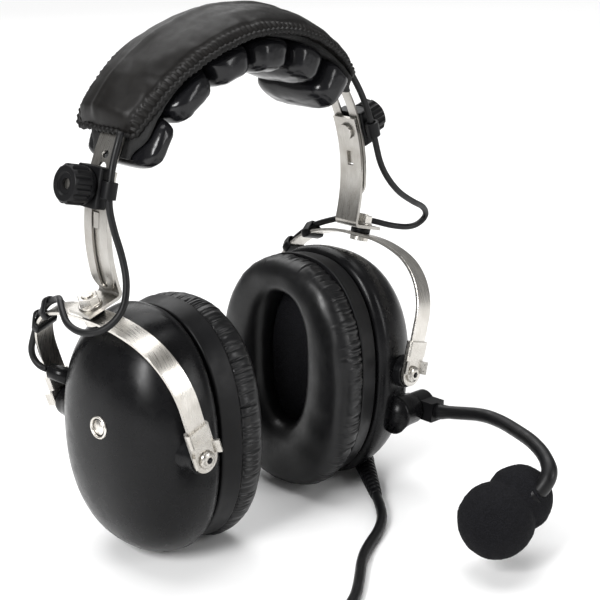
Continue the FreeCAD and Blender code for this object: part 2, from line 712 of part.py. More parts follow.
LINK_ROUTES = {
    "left": [
        (62.3, -9.5, 199.4), (70.2, -9.8, 189.0), (76.2, -11.0, 174.2), (79.2, -11.4, 163.0), (81.5, -13.2, 149.5),
        (92.0, -13.6, 136.5), (106.0, -12.0, 128.0), (119.0, -9.0, 122.0), (124.0, -6.0, 115.5),
        (117.0, -3.5, 111.0), (105.0, -0.5, 113.5), (94.0, 5.0, 118.0), (86.0, 14.5, 119.5), (80.8, 24.2, 116.4),
        (80.3, 33.4, 112.2), (77.5, 44.4, 102.8), (77.6, 49.4, 93.0), (79.2, 51.0, 84.8), (78.2, 46.6, 78.6),
        (76.9, 42.4, 77.6),
    ],
    "right": [
        (-69.0, -9.5, 190.3), (-73.6, -10.2, 181.5), (-76.6, -11.0, 173.2), (-79.0, -11.5, 163.0),
        (-78.4, -13.4, 152.5), (-77.4, -16.5, 142.5), (-78.6, -20.5, 132.0), (-82.0, -21.5, 121.5),
        (-88.4, -18.0, 114.4), (-93.2, -9.5, 111.6), (-94.4, 0.0, 113.4), (-91.6, 7.0, 117.4), (-87.0, 14.5, 119.8),
        (-81.2, 24.2, 116.5), (-80.3, 33.4, 112.2), (-77.5, 44.4, 102.8), (-77.6, 49.4, 93.0), (-79.2, 51.0, 84.8),
        (-78.2, 46.6, 78.6), (-76.9, 42.4, 78.4),
    ],
}


# ---------------------------------------------------------------- microphone

GOOSENECK = [
    (77.6, -53.2, 37.3), (78.2, -66.0, 40.0), (77.4, -80.0, 43.6), (73.6, -93.5, 45.4), (67.0, -107.5, 46.8),
    (59.5, -121.5, 48.4), (52.0, -134.0, 47.4), (45.6, -141.5, 42.6), (41.2, -137.8, 36.0),
]
MUFF_FRONT, MUFF_REAR = V(28, -126.5, 24), V(42, -128, 30)


def microphone():
    left = SIDES["left"]
    place = cup_frame(left)
    start = BOOM_SEAT + V(0.3, 0, 0)
    turret = cut(
        fuse(cylinder(6.8, 9, start, X), box(9, 12, 9.4, start + V(4.5, -6, 0))),
        cylinder("screw_diameter/2 + 0.5 + running_gap", 12, start - V(1, 0, 0), X),
        cylinder(4.6, 3, start + V(7.6, 0, 0), X),
    )
    node("boom_turret", turret, place)
    spindle = fuse(
        cylinder("screw_diameter/2 + 0.5", 17, BOOM_SEAT - V(9, 0, 0), X),
        cylinder(4.2, 1.4, BOOM_SEAT + V(8, 0, 0), X),
    )
    node("boom_spindle", spindle, place)
    node("gooseneck", shaped(tube("gooseneck", GOOSENECK, size("boom_diameter"))))

    neck_end, last = V(*GOOSENECK[-1]), V(*GOOSENECK[-2])
    along = (MUFF_FRONT - neck_end).normalize()
    capsule = cylinder(5, 18, neck_end + along * 1.2, along)
    node("mic_capsule", capsule)
    back = (last - neck_end).normalize()
    lobe_axis = MUFF_REAR - MUFF_FRONT
    lobes = fuse(
        primitive("Sphere", MUFF_FRONT, lobe_axis, Radius="muff_diameter/2"),
        primitive("Sphere", MUFF_REAR, lobe_axis, Radius="muff_diameter/2 - 2.2"),
    )
    neck_hole = cylinder("boom_diameter/2 + 0.4", 16, neck_end - back * 0.8, back)
    foam = cut(cut(lobes, neck_hole), cylinder(5.1, 19.4, neck_end + along * 0.6, along))
    node("mic_muff", foam)


# ---------------------------------------------------------------- down-lead

MAIN_CORD = [
    (42.5, -45.5, 3.0), (32.5, -59.0, 2.5), (19.0, -68.5, 2.4), (5.0, -74.5, 2.4), (-6.5, -81.0, 2.4),
    (-18.0, -90.5, 2.4), (-32.0, -101.0, 2.4), (-46.0, -106.6, 2.4), (-58.5, -106.0, 2.4),
]
COIL_MIDDLE = V(-67, -142, 0)
CORD_END = [(-100.4, -150.0, 7.2), (-103.0, -160.0, 5.0), (-103.6, -169.0, 3.4), (-104.0, -178.0, 3.3)]
JUNCTION = V(-104, -188, 3.3)
MIC_TAIL = [
    (-101.2, -198.0, 3.3), (-100.4, -205.5, 2.4), (-95.0, -211.0, 1.8), (-85.0, -211.6, 1.8), (-74.0, -207.0, 2.6),
    (-63.0, -203.6, 4.6), (-51.0, -203.0, 6.3),
]
PHONE_TAIL = [
    (-106.8, -198.0, 3.3), (-107.4, -207.5, 2.4), (-103.0, -217.5, 1.8), (-92.5, -223.0, 1.8), (-79.0, -222.6, 2.6),
    (-65.0, -220.0, 5.0), (-51.0, -219.4, 6.9),
]


def plug(start, along, radius, pin):
    """A moulded plug shell and its pin; pin is an alias."""
    shell = fuse(
        primitive("Cone", start, along, Radius1=2.6, Radius2=radius - 1.2, Height=12),
        cylinder(radius, 24, start + along * 12, along),
    )
    tip = primitive("Cone", start + along * 64, along, Radius1=f"{pin}/2", Radius2=f"{pin}/4", Height=3)
    return shell, fuse(cylinder(f"{pin}/2", 28, start + along * 36, along), tip)


def down_lead():
    relief_axis = RELIEF_END - RELIEF_START
    relief = primitive(
        "Cone", RELIEF_START, relief_axis, Radius1=5, Radius2="cord_diameter/2 + 0.3", Height=relief_axis.Length
    )
    node("strain_relief", relief)
    node("main_cord", shaped(tube("main_cord", MAIN_CORD, size("cord_diameter"))))

    inner, outer, height = size("coil_radius") - 9.6, size("coil_radius") + 9.6, 9.2
    ring = cut(cylinder(outer, height, COIL_MIDDLE), cylinder(inner, height + 2, COIL_MIDDLE - Z))
    round_edges = fillet(ring, 2.2, lambda edge: edge.Length > 100 and len(edge.Vertexes) == 1)
    node("cord_coil", round_edges)
    tie_frame = Place(COIL_MIDDLE, Turn(Z, 205))
    tie = cut(
        box(outer - inner + 3, 5, height + 1.1, ((outer + inner) / 2, 0, (height + 1.1) / 2), tie_frame),
        box(outer - inner + 0.8, 7, height + 0.3, ((outer + inner) / 2, 0, (height + 0.3) / 2 - 0.01), tie_frame),
    )
    node("cord_tie", tie)
    node("cord_end", shaped(tube("cord_end", CORD_END, size("cord_diameter"))))
    block = fillet(box(12.4, 20, 6.6, JUNCTION), 2.4, lambda edge: abs(edge.tangentAt(edge.FirstParameter).y) > 0.9)
    node("y_junction", block)
    node("mic_tail", shaped(tube("mic_tail", MIC_TAIL, size("tail_diameter"))))
    node("phone_tail", shaped(tube("phone_tail", PHONE_TAIL, size("tail_diameter"))))
    mic = plug(V(*MIC_TAIL[-1]), X, 6.2, "mic_pin")
    phone = plug(V(*PHONE_TAIL[-1]), X, 6.8, "phone_pin")
    node("plug_shells", together(mic[0], phone[0]))
    node("plug_pins", together(mic[1], phone[1]))


# ---------------------------------------------------------------- assembly

spring_band()
head_pad()
for name, side in SIDES.items():
    hanger(name, side)
    clamp(name, side)
    stirrup(name, side)
    dome(name, side)
    cup_insides(name, side)
    badge(name, side)
    node(f"{name}_link_cable", shaped(tube(f"{name}_link_cable", LINK_ROUTES[name], size("cable_diameter"))))
microphone()
down_lead()
doc.recompute()

failed = [o.Name for o in doc.Objects if {"Invalid", "Error"} & set(o.State)]
if failed:
    raise RuntimeError(f"objects that failed: {failed}")
for name, piece in NODES.items():
    if piece.Shape.isNull() or not piece.Shape.isValid() or not piece.Shape.Solids:
        raise RuntimeError(f"{name} has no valid solid")

os.makedirs("parts", exist_ok=True)
for name, piece in NODES.items():
    piece.Shape.exportStep(f"parts/{name}.step")
print(f"{len(NODES)} nodes")
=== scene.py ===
"""The looks of an aviation headset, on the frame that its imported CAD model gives.

Lengths of the headset are millimetres until a mesh or curve is made, in the CAD's own frame: +Z up,
the wearer faces -Y, and the wearer's left is +X. What belongs to one side is written in a side frame
whose +X points out of the head, and the right side is that frame turned half a turn about Z. Camera and
stage are in metres.
"""

import json
import math

import bmesh
import bpy
from mathutils import Matrix, Vector, noise


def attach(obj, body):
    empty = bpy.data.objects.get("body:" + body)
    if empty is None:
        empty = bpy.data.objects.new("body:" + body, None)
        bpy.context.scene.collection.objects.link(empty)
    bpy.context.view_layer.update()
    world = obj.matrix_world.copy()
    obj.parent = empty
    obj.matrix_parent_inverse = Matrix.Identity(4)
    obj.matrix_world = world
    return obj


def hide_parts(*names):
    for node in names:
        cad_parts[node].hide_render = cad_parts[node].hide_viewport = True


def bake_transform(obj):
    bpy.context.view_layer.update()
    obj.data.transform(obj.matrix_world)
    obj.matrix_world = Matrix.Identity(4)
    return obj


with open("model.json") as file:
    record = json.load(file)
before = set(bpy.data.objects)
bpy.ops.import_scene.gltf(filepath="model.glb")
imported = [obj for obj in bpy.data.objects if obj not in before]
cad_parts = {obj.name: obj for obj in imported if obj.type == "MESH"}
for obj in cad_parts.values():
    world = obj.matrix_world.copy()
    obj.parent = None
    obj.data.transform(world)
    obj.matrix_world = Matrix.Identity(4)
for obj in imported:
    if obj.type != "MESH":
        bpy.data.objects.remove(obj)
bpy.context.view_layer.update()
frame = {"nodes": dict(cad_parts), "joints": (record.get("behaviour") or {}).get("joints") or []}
NODES = frame["nodes"]
JOINTS = {joint["name"]: joint for joint in frame["joints"]}
MM = 0.001
FULL_TURN = 2 * math.pi


def add_object(name, data, paint=None):
    """An object in the scene for a mesh, curve, light or camera."""
    made = bpy.data.objects.new(name, data)
    bpy.context.scene.collection.objects.link(made)
    if paint:
        data.materials.append(paint)
    return made


def aimed(axis, track="Z"):
    """A turn that brings the track axis onto another axis."""
    return Vector(axis).to_track_quat(track, "Y").to_matrix().to_4x4()


# ---------------------------------------------------------------- camera and stage

EYE = Vector((-0.4193, -0.4591, 0.3093))
LOOKS_ALONG = Vector((0.6697, 0.6707, -0.3188))
ROLL = math.radians(-0.93)
LENS_MM, SENSOR_MM = 86.96, 36
STAGE_MIDDLE = Vector((0.0, 0.0, 0.12))
FLOOR_REACH = 6.0
FLOOR_WHITE = (0.93, 0.93, 0.93)
WORLD_STRENGTH = 0.24
SUN_STRENGTH, SUN_ANGLE = 2.5, math.radians(55)
SUN_COMES_FROM = (0.15, 0.3, 1.0)


def add_camera():
    """The camera that was solved from the corners and edges of the parts in the photo."""
    camera = bpy.data.cameras.new("camera")
    camera.lens = LENS_MM
    camera.sensor_width = SENSOR_MM
    camera.clip_start = 0.01
    holder = add_object("camera", camera)
    holder.matrix_world = Matrix.Translation(EYE) @ aimed(LOOKS_ALONG, "-Z") @ Matrix.Rotation(ROLL, 4, "Z")
    bpy.context.scene.camera = holder


def add_area_light(name, at, size, power):
    """A soft box that faces the middle of the stage."""
    light = bpy.data.lights.new(name, "AREA")
    light.shape = "RECTANGLE"
    light.size, light.size_y = size
    light.energy = power
    holder = add_object(name, light)
    holder.matrix_world = Matrix.Translation(at) @ aimed(STAGE_MIDDLE - Vector(at), "-Z")


def add_stage():
    """A pale floor under a white sky, a wide soft sun and three soft boxes."""
    world = bpy.data.worlds.new("studio")
    world.use_nodes = True
    background = world.node_tree.nodes["Background"]
    background.inputs["Color"].default_value = (1, 1, 1, 1)
    background.inputs["Strength"].default_value = WORLD_STRENGTH
    bpy.context.scene.world = world
    bpy.context.scene.view_settings.view_transform = "Standard"

    mesh = bpy.data.meshes.new("floor")
    r = FLOOR_REACH
    mesh.from_pydata([(-r, -r, 0), (r, -r, 0), (r, r, 0), (-r, r, 0)], [], [(0, 1, 2, 3)])
    floor = add_object("floor", mesh, Material("floor_white", FLOOR_WHITE, 0.7).block)

    sun = bpy.data.lights.new("overhead", "SUN")
    sun.energy = SUN_STRENGTH
    sun.angle = SUN_ANGLE
    add_object("overhead", sun).matrix_world = aimed(SUN_COMES_FROM)
    add_area_light("front_left", (-1.15, -0.25, 0.85), (0.34, 0.62), 19)
    add_area_light("front_right", (0.45, -1.25, 0.6), (0.3, 0.8), 6)
    add_area_light("behind", (0.7, 1.2, 0.9), (0.9, 0.6), 4)


# ---------------------------------------------------------------- materials


class Material:
    """A Principled material with a few helpers for its procedural detail."""

    def __init__(self, name, colour, roughness, **values):
        self.block = bpy.data.materials.new(name)
        self.block.use_nodes = True
        self.tree = self.block.node_tree
        self.shader = self.tree.nodes["Principled BSDF"]
        self.shader.inputs["Base Color"].default_value = (*colour, 1)
        self.shader.inputs["Roughness"].default_value = roughness
        for socket, value in values.items():
            self.shader.inputs[socket.replace("_", " ")].default_value = value
        self.normal = None

    def add(self, kind, **values):
        made = self.tree.nodes.new("ShaderNode" + kind)
        for socket, value in values.items():
            made.inputs[socket].default_value = value
        return made

    def link(self, source, target):
        self.tree.links.new(source, target)

    def place(self, scale=(1, 1, 1)):
        """Object coordinates in millimetres, stretched by a scale for each axis."""
        coordinates = self.add("TexCoord")
        mapping = self.add("Mapping")
        mapping.inputs["Scale"].default_value = [s / MM for s in scale]
        self.link(coordinates.outputs["Object"], mapping.inputs["Vector"])
        return mapping.outputs["Vector"]

    def noise(self, size, detail=3.0, stretch=(1, 1, 1), roughness=0.5):
        """Noise whose features are about size millimetres."""
        made = self.add("TexNoise", Scale=1.0 / size, Detail=detail, Roughness=roughness)
        self.link(self.place(stretch), made.inputs["Vector"])
        return made.outputs["Fac"]

    def cells(self, size):
        """Round cells about size millimetres apart."""
        made = self.add("TexVoronoi", Scale=1.0 / size)
        self.link(self.place(), made.inputs["Vector"])
        return made.outputs["Distance"]

    def bump(self, height, strength, depth_mm):
        """Adds a bump on top of the ones before it."""
        made = self.add("Bump", Strength=strength, Distance=depth_mm * MM)
        self.link(height, made.inputs["Height"])
        if self.normal:
            self.link(self.normal, made.inputs["Normal"])
        self.normal = made.outputs["Normal"]
        self.link(self.normal, self.shader.inputs["Normal"])

    def vary(self, socket, fac, low, high, start=0.35, end=0.65):
        """Drives a socket between two values or colours by a texture."""
        ramp = self.add("ValToRGB")
        stops = ramp.color_ramp.elements
        stops[0].position, stops[1].position = start, end
        as_colour = [v if isinstance(v, tuple) else (v, v, v) for v in (low, high)]
        stops[0].color, stops[1].color = [(*c, 1) for c in as_colour]
        self.link(fac, ramp.inputs["Fac"])
        self.link(ramp.outputs["Color"], self.shader.inputs[socket])


def shaded(colour, factor):
    """A colour made darker or lighter."""
    return tuple(c * factor for c in colour)


def brushed_steel(name, stretch, shade=1.0):
    """Stainless strip; the stretch makes its brush lines run along the strip."""
    dull, bright = shaded((0.60, 0.57, 0.52), shade), shaded((0.80, 0.775, 0.73), shade)
    steel = Material(name, bright, 0.3, Metallic=1.0)
    lines = steel.noise(1.0, detail=4, stretch=stretch, roughness=0.6)
    clouds = steel.noise(9, detail=3)
    steel.vary("Roughness", lines, 0.22, 0.42)
    steel.vary("Base Color", clouds, dull, bright, 0.3, 0.7)
    steel.bump(lines, 0.25, 0.03)
    return steel.block


def moulded(name, colour, roughness, grain=0.5, strength=0.12):
    """Satin moulded plastic with a fine spark texture."""
    plastic = Material(name, colour, roughness, Specular_IOR_Level=0.16)
    plastic.vary("Base Color", plastic.noise(14, detail=4), shaded(colour, 0.82), shaded(colour, 1.15))
    plastic.vary("Roughness", plastic.noise(6, detail=3), roughness - 0.04, roughness + 0.06)
    plastic.bump(plastic.noise(grain, detail=2), strength, 0.05)
    return plastic.block


def leatherette(name, colour, roughness, crease=1.0, gloss=0.32):
    """Coated cloth with a pebble grain and soft creases."""
    skin = Material(name, colour, roughness, Specular_IOR_Level=gloss)
    skin.vary("Base Color", skin.noise(7, detail=5), shaded(colour, 0.8), shaded(colour, 1.2))
    skin.vary("Roughness", skin.noise(3, detail=4), roughness - 0.04, roughness + 0.05)
    skin.bump(skin.noise(4.5, detail=4), 0.35 * crease, 0.5)
    skin.bump(skin.cells(0.75), 0.2, 0.06)
    return skin.block


def vinyl(name):
    """Glossy soft vinyl film that pulls into small wrinkles."""
    film = Material(name, (0.006, 0.006, 0.007), 0.2, Specular_IOR_Level=0.3)
    film.bump(film.noise(6, detail=3, stretch=(1, 0.45, 1)), 0.35, 0.8)
    film.bump(film.noise(1.3, detail=2), 0.1, 0.08)
    return film.block


def foam(name, colour):
    """Open-cell foam."""
    sponge = Material(name, colour, 0.95, Specular_IOR_Level=0.15)
    pores = sponge.cells(0.55)
    # painted shade in the pores: the colour is darkest at each pore's middle, where the bump sinks in, and
    # lightest on the rims between pores
    sponge.vary("Base Color", pores, shaded(colour, 0.35), shaded(colour, 1.9), 0.1, 0.7)
    sponge.bump(pores, 0.9, 0.3)
    sponge.bump(sponge.noise(1.6, detail=3), 0.5, 0.4)
    return sponge.block


def woven(name, colour):
    """Coarse cloth: two sets of ridges that cross."""
    cloth = Material(name, colour, 0.9, Sheen_Weight=0.08)
    warp = cloth.noise(1.0, detail=1, stretch=(0.25, 1.6, 0.25))
    weft = cloth.noise(1.0, detail=1, stretch=(1.6, 0.25, 1.6))
    cloth.vary("Base Color", warp, shaded(colour, 0.5), shaded(colour, 1.7))
    cloth.bump(warp, 0.7, 0.3)
    cloth.bump(weft, 0.7, 0.3)
    return cloth.block


def jacket(name):
    """The soft jacket of a cable."""
    rubber = Material(name, (0.004, 0.004, 0.0045), 0.42, Specular_IOR_Level=0.26)
    rubber.vary("Roughness", rubber.noise(5, detail=3), 0.36, 0.52)
    rubber.bump(rubber.noise(0.8, detail=3), 0.12, 0.06)
    return rubber.block


def brass(name):
    """Turned metal of the plugs."""
    metal = Material(name, (0.80, 0.62, 0.30), 0.22, Metallic=1.0)
    metal.vary("Roughness", metal.noise(2), 0.16, 0.3)
    return metal.block


# ---------------------------------------------------------------- mesh helpers


def surface(name, rows, place, paint, closed=False, capped=False):
    """A smooth mesh through closed rows of points in millimetres.

    Closed joins the last row to the first one, and capped fills both end rows.
    """
    count = len(rows[0])
    points = [(place @ Vector(p)) * MM for row in rows for p in row]
    faces = []
    for i in range(len(rows) if closed else len(rows) - 1):
        a, b = i * count, (i + 1) % len(rows) * count
        for j in range(count):
            k = (j + 1) % count
            faces.append((a + j, a + k, b + k, b + j))
    if capped:
        last = (len(rows) - 1) * count
        faces.append(tuple(reversed(range(count))))
        faces.append(tuple(range(last, last + count)))
    mesh = bpy.data.meshes.new(name)
    mesh.from_pydata(points, [], faces)
    outward = bmesh.new()
    outward.from_mesh(mesh)
    bmesh.ops.recalc_face_normals(outward, faces=outward.faces)
    outward.to_mesh(mesh)
    outward.free()
    mesh.shade_smooth()
    return add_object(name, mesh, paint)


def turns(steps):
    """Angles at even steps round a full turn."""
    return [FULL_TURN * j / steps for j in range(steps)]


def circle(radius, z, steps=40):
    """Points of a circle about the Z axis."""
    return [(radius * math.cos(turn), radius * math.sin(turn), z) for turn in turns(steps)]


def turned(name, profile, place, paint, steps=40):
    """A turned piece: its profile is (radius, height) pairs along the place's Z."""
    return surface(name, [circle(r, z, steps) for r, z in profile], place, paint, capped=True)


def catmull_rom(a, b, c, d, t):
    """A value between b and c, with a before and d after them."""
    square, cube = 2 * a - 5 * b + 4 * c - d, 3 * b - a - 3 * c + d
    return 0.5 * (2 * b + (c - a) * t + square * t * t + cube * t**3)


def smoothed(profile, steps):
    """More points along a profile, on a smooth curve through its own."""
    made = []
    for i in range(len(profile) - 1):
        before, after = profile[max(i - 1, 0)], profile[min(i + 2, len(profile) - 1)]
        for k in range(steps):
            around = zip(before, profile[i], profile[i + 1], after)
            made.append(tuple(catmull_rom(*values, k / steps) for values in around))
    made.append(profile[-1])
    return made


def smooth_step(x, low, high):
    """Rises smoothly from 0 at low to 1 at high."""
    t = min(max((x - low) / (high - low), 0.0), 1.0)
    return t * t * (3 - 2 * t)


def signed_power(value, power):
    """A power of a value's size that keeps its sign, for rounded squares."""
    return math.copysign(abs(value) ** power, value)


def toward(axis, at=(0, 0, 0)):
    """A place whose Z runs along an axis."""
    return Matrix.Translation(at) @ aimed(axis)


def join(name, pieces):
    """One object from several meshes, keeping their materials."""
    with bpy.context.temp_override(active_object=pieces[0], selected_editable_objects=pieces):
        bpy.ops.object.join()
    pieces[0].name = name
    return pieces[0]


def nurbs(name, points, diameter, paint, resolution=8):
    """A tube on a smooth NURBS spline whose control points are in millimetres."""
    curve = bpy.data.curves.new(name, "CURVE")
    curve.dimensions = "3D"
    curve.bevel_depth = diameter / 2 * MM
    curve.bevel_resolution = 6
    curve.resolution_u = resolution
    curve.use_fill_caps = True
    spline = curve.splines.new("NURBS")
    spline.points.add(len(points) - 1)
    for point, at in zip(spline.points, points):
        point.co = (*[v * MM for v in at], 1)
    spline.order_u = 3
    spline.use_endpoint_u = True
    return add_object(name, curve, paint)


def spline_line(points):
    """Points along the NURBS spline of a route, in millimetres."""
    wire = nurbs("route", points, 0, None, 10)
    bpy.context.view_layer.update()
    mesh = bpy.data.meshes.new_from_object(wire.evaluated_get(bpy.context.evaluated_depsgraph_get()))
    line = [v.co / MM for v in mesh.vertices]
    bpy.data.objects.remove(wire)
    return line


def tube_rows(line, radius, steps):
    """Circles round a line of points; the radius may be a function of distance travelled and turn."""
    rows, side, travelled = [], None, 0.0
    for i, at in enumerate(line):
        along = (line[min(i + 1, len(line) - 1)] - line[max(i - 1, 0)]).normalized()
        if side is None:
            side = along.orthogonal().normalized()
        side = (side - along * side.dot(along)).normalized()
        other = along.cross(side)
        travelled += (at - line[i - 1]).length if i else 0.0
        row = []
        for turn in turns(steps):
            r = radius(travelled, turn) if callable(radius) else radius
            row.append(at + (side * math.cos(turn) + other * math.sin(turn)) * r)
        rows.append(row)
    return rows


def bevelled(piece, width_mm):
    """Eases the edges of a hard piece, which keeps its shape."""
    weld = piece.modifiers.new("weld", "WELD")
    weld.merge_threshold = 1e-6
    ease = piece.modifiers.new("ease", "BEVEL")
    ease.width = width_mm * MM
    ease.segments = 2
    ease.limit_method = "ANGLE"
    ease.angle_limit = math.radians(38)
    level = piece.modifiers.new("normals", "WEIGHTED_NORMAL")
    level.keep_sharp = True


def finished(node, paint, width_mm):
    """Paints a CAD node, and eases its edges where a width is given."""
    piece = NODES[node]
    piece.data.materials.clear()
    piece.data.materials.append(paint)
    if width_mm:
        bevelled(piece, width_mm)


# ---------------------------------------------------------------- frames of the sides

SIDES = ("left", "right")
PIVOT = Vector(JOINTS["left_tilt"]["pos_m"]) / MM
BAND_MIDDLE = Vector(JOINTS["left_height"]["pos_m"]) / MM
LEAN = math.radians(16.5)
BAND_TURN = math.radians(-4.1)
TILT = {"left": math.radians(-3.2), "right": math.radians(0.5)}
FRONT = {"left": -1, "right": 1}
IDENTITY = Matrix.Identity(4)


def side_turn(side):
    """The turn from the side frame to the CAD's frame."""
    return Matrix.Rotation(0 if side == "left" else math.pi, 4, "Z")


def cup_place(side):
    """A cup's frame: its origin is between the pivot screws, and X runs out of the head."""
    return side_turn(side) @ Matrix.Translation(PIVOT) @ Matrix.Rotation(-TILT[side], 4, "Y")


def yoke_place(side):
    """A stirrup's frame: its Z runs up along the leaning stirrup."""
    return side_turn(side) @ Matrix.Translation(PIVOT) @ Matrix.Rotation(LEAN, 4, "Y")


BAND_PLACE = Matrix.Translation(BAND_MIDDLE) @ Matrix.Rotation(BAND_TURN, 4, "Y")

# depths of a cup along X: the groove between dome and rim ring, and the rim that the cushion sits on
GROOVE = -15.5
RING_DEPTH = 11.2
RIM = GROOVE - RING_DEPTH
CUP_WIDE, CUP_HIGH, CUP_DROP, CUP_POWER = 80.0, 108.0, 2.5, 2.3
DOME_DEPTH, DOME_POWER, DOME_SWELL, DOME_GAP, DOME_LEAN = 38.0, 2.5, 4.8, 0.6, 3.0
PIVOT_SIDE = 47.4
EAR_DROP = CUP_DROP - 6
RELIEF_START, RELIEF_END = Vector((62, -20, 5.6)), Vector((42.5, -45.5, 3.0))


def oval(x, wide, high, drop=CUP_DROP, steps=160):
    """Points of an oval outline in the plane of constant x."""
    power = 2 / CUP_POWER
    row = []
    for turn in turns(steps):
        y = wide / 2 * signed_power(math.cos(turn), power)
        z = high / 2 * signed_power(math.sin(turn), power)
        row.append((x, y, z - drop))
    return row


# ---------------------------------------------------------------- ear cups


def dome(side, paint):
    """The dome with its pivot bosses and gland; the left one also holds the boom and the down-lead."""
    place = cup_place(side)
    front, rear = FRONT[side], -FRONT[side]
    depth = DOME_DEPTH - DOME_GAP
    rows = [oval(GROOVE + x, CUP_WIDE - less, CUP_HIGH - less) for x, less in ((1.6, 6), (0.7, 2.4))]
    for i in range(44):
        turn = math.radians(1.5 + 88.2 * (i / 43) ** 0.9)
        x = math.sin(turn) ** (2 / DOME_POWER) * depth
        scale = math.cos(turn) ** (2 / DOME_POWER)
        swell = DOME_SWELL * smooth_step(x + DOME_GAP, -1.5, 5.5)
        lean = front * DOME_LEAN * (x / depth) ** 1.5
        outline = oval(GROOVE + DOME_GAP + x, (CUP_WIDE + swell) * scale, (CUP_HIGH + swell) * scale)
        rows.append([(a, y + lean, z) for a, y, z in outline])
    pieces = [surface(f"{side}_dome_shell", rows, place, paint, capped=True)]
    end = PIVOT_SIDE - 1.1
    boss = smoothed([(9.5, 33), (8.2, 38.5), (7.3, 42), (7.0, end - 0.9), (6.4, end - 0.1), (3, end)], 4)
    for sign in (-1, 1):
        pieces.append(turned(f"{side}_boss", boss, place @ toward((0, sign, 0)), paint))
    gland = [(3.9, 0), (3.6, 8), (3.4, 11.4), (2.8, 12), (1.6, 12)]
    gland_place = place @ toward((0.35, rear, 0.15), (8, rear * 30, 17))
    pieces.append(turned(f"{side}_gland", gland, gland_place, paint))
    if side == "left":
        seat = [(9.5, -5), (8.3, -1), (7.6, 3), (7.4, 8.9), (6.7, 9.7), (2, 9.7)]
        pieces.append(turned("boom_seat", seat, place @ toward((1, 0, 0), (0, -41, -21)), paint))
        socket = toward(RELIEF_START - RELIEF_END, RELIEF_START)
        pieces.append(turned("relief_socket", [(4.6, 0), (5.2, 0.6), (5.4, 10)], socket, paint))
    whole = join(f"{side}_dome_mould", pieces)
    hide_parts(f"{side}_dome")
    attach(whole, f"{side}_cup")


def rim_ring(side, paint):
    """The band between dome and cushion; its profile is (depth, growth of the cup's outline) pairs."""
    profile = smoothed([
        (GROOVE + 2.6, -9.0), (GROOVE - 0.4, -8.0), (GROOVE - 0.6, -2.4), (GROOVE - 0.9, -0.5),
        (GROOVE - 1.6, 0.2), (GROOVE - 4.0, 0.7), (RIM + 3.2, 1.9), (RIM + 1.5, 2.5), (RIM + 0.7, 2.7),
        (RIM + 0.2, 2.4), (RIM, 1.2), (RIM, -4.0),
    ], 4)
    rows = [oval(x, CUP_WIDE + grow, CUP_HIGH + grow) for x, grow in profile]
    ring = surface(f"{side}_rim_band", rows, cup_place(side), paint)
    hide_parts(f"{side}_rim_ring")
    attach(ring, f"{side}_cup")


CUSHION_STEPS = 900
CUSHION_WIDE, CUSHION_HIGH, CUSHION_DROP = CUP_WIDE + 3.0, CUP_HIGH + 1.4, CUP_DROP + 1.0
EAR_WIDE, EAR_HIGH = 31.0, 65.0
TUCK_PITCH = 3.3
TABLE_CLEARANCE = 0.15


def cushion_tucks(seed):
    """Height and reach of the gathers at each step round a cushion."""
    outline = oval(0, CUSHION_WIDE, CUSHION_HIGH, steps=CUSHION_STEPS)
    lengths, total = [], 0.0
    for j in range(CUSHION_STEPS):
        lengths.append(total)
        total += (Vector(outline[(j + 1) % CUSHION_STEPS]) - Vector(outline[j])).length
    count = round(total / TUCK_PITCH)
    tucks = []
    for along in lengths:
        turn = along / total * FULL_TURN
        loop = Vector((math.cos(turn) * 9, math.sin(turn) * 9, seed))
        phase = along / total * count + 1.6 * noise.noise(loop * 1.4)
        height = 1.5 + 1.5 * noise.noise(loop * 2.3 + Vector((0, 0, 5)))
        reach = 8.5 + 7.0 * noise.noise(loop * 3.1 + Vector((0, 0, 9)))
        tucks.append(((abs(math.sin(math.pi * phase)) ** 0.55 - 0.7) * height, reach))
    return tucks


def ear_cushion(side, paint):
    """A soft ring: gathered round its outside, smooth on its inner face."""
    # depth from the ring, growth of the outer outline, and share of the way to the ear opening
    profile = smoothed([
        (-0.4, -6.0, 0), (0.0, -2.6, 0), (0.5, -0.6, 0), (2.2, 0.8, 0), (5.0, 1.6, 0), (8.2, 1.4, 0),
        (11.0, -0.6, 0), (13.2, -4.6, 0), (14.6, -10.6, 0), (15.2, -16.0, 0.1), (15.2, -18.0, 0.34),
        (14.7, -18.0, 0.58), (13.4, -18.0, 0.78), (11.2, -18.0, 0.92), (8.2, -18.0, 1.0),
        (4.5, -18.0, 1.0), (1.2, -18.0, 0.94),
    ], 5)
    seed = 3.0 if side == "left" else 11.0
    tucks = cushion_tucks(seed)
    place = cup_place(side)
    rows = []
    for depth, grow, share in profile:
        at_side = smooth_step(depth, -0.4, 0.8) * (share < 0.05)
        wide = (CUSHION_WIDE + grow) * (1 - share) + EAR_WIDE * share
        high = (CUSHION_HIGH + grow) * (1 - share) + EAR_HIGH * share
        drop = CUSHION_DROP * (1 - share) + EAR_DROP * share
        row = []
        for (tuck, reach), point in zip(tucks, oval(RIM - depth, wide, high, drop, CUSHION_STEPS)):
            point = Vector(point)
            out = Vector((0, point.y, point.z + drop)).normalized()
            soft = noise.fractal(point * 0.05 + Vector((seed, 0, 0)), 1.0, 2.0, 3)
            lift = tuck * at_side * (1 - smooth_step(depth, reach * 0.35, reach * 1.25)) + soft * 0.4
            face = smooth_step(depth, 12, 15) * noise.noise(point * 0.07 + Vector((0, seed, 0))) * 0.7
            at = place @ (point + out * lift - Vector((face, 0, 0)))
            at.z = max(at.z, TABLE_CLEARANCE)
            row.append(at)
        rows.append(row)
    cushion = surface(f"{side}_ear_seal", rows, IDENTITY, paint)
    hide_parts(f"{side}_ear_cushion")
    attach(cushion, f"{side}_cup")


